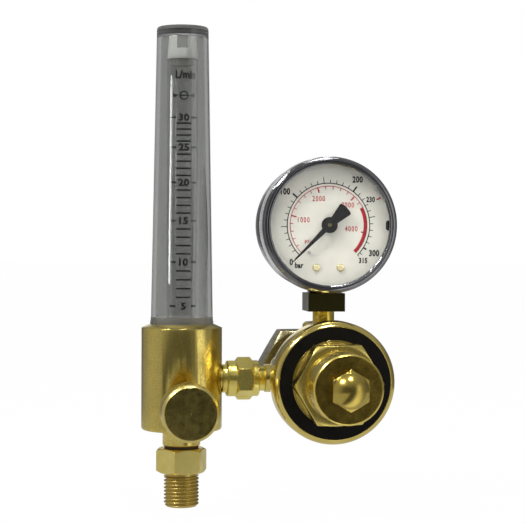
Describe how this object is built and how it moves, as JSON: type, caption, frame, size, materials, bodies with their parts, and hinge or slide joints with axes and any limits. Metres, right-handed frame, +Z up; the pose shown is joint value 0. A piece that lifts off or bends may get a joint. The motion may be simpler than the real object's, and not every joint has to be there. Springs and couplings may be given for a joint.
{
  "type": "gas pressure regulator with flowmeter",
  "caption": "Single-stage cylinder gas regulator with a round contents gauge, a union to a clear flow tube with a ball float, a needle valve knob and a hose outlet.",
  "frame": {"origin": "centre of the sealing face where the inlet meets the cylinder valve, on the regulator's axis", "axes": "+Z up along the flow tube, +X towards the regulator's free side, +Y out of the inlet towards the cylinder, so the gauge and the knob face -Y"},
  "size_m": [0.0946, 0.1208, 0.1799],
  "materials": {
    "body_brass": "satin turned",
    "cup_brass": "polished",
    "nut_brass": "satin, slightly grey",
    "knob_brass": "satin",
    "inner_brass": "machined",
    "dark_brass": "dark plated",
    "steel": "bright",
    "spring_steel": "drawn wire",
    "chrome": "polished",
    "case_steel": "black enamel",
    "bronze": "drawn tube",
    "filter_bronze": "sintered",
    "dial_white": "matt enamel, printed",
    "pointer_black": "matt",
    "label_black": "matt",
    "clear_cover": "clear plastic, slightly smoky",
    "clear_tube": "clear plastic, printed scale",
    "window": "clear",
    "plug_white": "moulded",
    "rubber": "matt",
    "fibre": "pressed fibre",
    "nylon": "moulded"
  },
  "bodies": {
    "regulator": {"regulator_body": "cup_brass", "label_ring": "label_black", "bonnet": "cup_brass", "cap_nut": "cup_brass", "spring_button": "steel", "adjusting_screw": "steel", "slip_washer": "inner_brass", "diaphragm": "rubber", "range_spring": "spring_steel", "valve_spring": "spring_steel", "valve_seat": "inner_brass", "inlet_nipple": "nut_brass", "inlet_filter": "filter_bronze", "inlet_washer": "nylon", "union_tail": "nut_brass", "union_nut": "nut_brass", "union_seal": "fibre", "union_stem": "nut_brass", "flow_body": "body_brass", "cover_gasket": "rubber", "tube_cover": "clear_cover", "tube_gasket": "rubber", "metering_tube": "clear_tube", "top_plug": "plug_white", "valve_gland": "inner_brass", "stem_seal": "rubber", "adapter_washer": "fibre", "outlet_adapter": "body_brass", "gauge_seal": "nylon", "gauge_case": "case_steel", "gauge_bezel": "chrome", "gauge_window": "window", "dial": "dial_white", "dial_screws": "inner_brass", "stop_pin": "steel", "gauge_stem": "dark_brass", "bourdon_tube": "bronze", "bourdon_tip": "inner_brass", "movement_frame": "inner_brass", "front_plate": "inner_brass", "movement_screws": "steel"},
    "float": {"float_ball": "steel"},
    "spindle": {"needle_spindle": "steel"},
    "knob": {"flow_knob": "knob_brass", "knob_screw": "spring_steel"},
    "inlet_nut": {"inlet_nut": "nut_brass"},
    "diaphragm_plate": {"diaphragm_plate": "inner_brass", "diaphragm_nut": "inner_brass"},
    "poppet": {"valve_poppet": "inner_brass"},
    "sector": {"sector_gear": "inner_brass"},
    "pointer": {"pointer": "pointer_black", "pointer_shaft": "steel"},
    "link": {"movement_link": "steel"}
  },
  "joints": [
    {"name": "float_lift", "type": "slide", "parent": "regulator", "child": "float", "axis": [0, 0, 1], "range_m": [0, 0.098]},
    {"name": "needle_slide", "type": "slide", "parent": "regulator", "child": "spindle", "axis": [0, -1, 0], "range_m": [0, 0.0032]},
    {"name": "knob_turn", "type": "hinge", "parent": "spindle", "child": "knob", "pos_m": [-0.054, -0.0542, -0.0093], "axis": [0, -1, 0], "range_deg": [0, 1441]},
    {"name": "inlet_nut_spin", "type": "hinge", "parent": "regulator", "child": "inlet_nut", "pos_m": [0, 0, 0], "axis": [0, 1, 0], "continuous": true},
    {"name": "diaphragm_travel", "type": "slide", "parent": "regulator", "child": "diaphragm_plate", "axis": [0, -1, 0], "range_m": [0, 0.0006], "stiffness_N_per_m": 500, "springref_m": -0.002, "deforming": ["range_spring", "diaphragm"]},
    {"name": "poppet_lift", "type": "slide", "parent": "regulator", "child": "poppet", "axis": [0, -1, 0], "range_m": [0, 0.0006], "deforming": ["valve_spring"]},
    {"name": "sector_turn", "type": "hinge", "parent": "regulator", "child": "sector", "pos_m": [0, -0.0542, 0.0444], "axis": [0, -1, 0], "range_deg": [0, 33.75]},
    {"name": "pointer_turn", "type": "hinge", "parent": "regulator", "child": "pointer", "pos_m": [0, -0.0542, 0.0579], "axis": [0, 1, 0], "range_deg": [0, 270.5]},
    {"name": "link_swing", "type": "hinge", "parent": "sector", "child": "link", "pos_m": [0.00648, -0.0542, 0.04383], "axis": [0, 1, 0], "range_deg": [0, 34.25]}
  ],
  "couplings": [
    {"joint": "knob_turn", "follows": "needle_slide", "rad_per_m": 7854},
    {"joint": "pointer_turn", "follows": "sector_turn", "ratio": 8},
    {"joint": "link_swing", "follows": "sector_turn", "ratio": 1},
    {"joint": "poppet_lift", "follows": "diaphragm_travel", "ratio": 1}
  ]
}
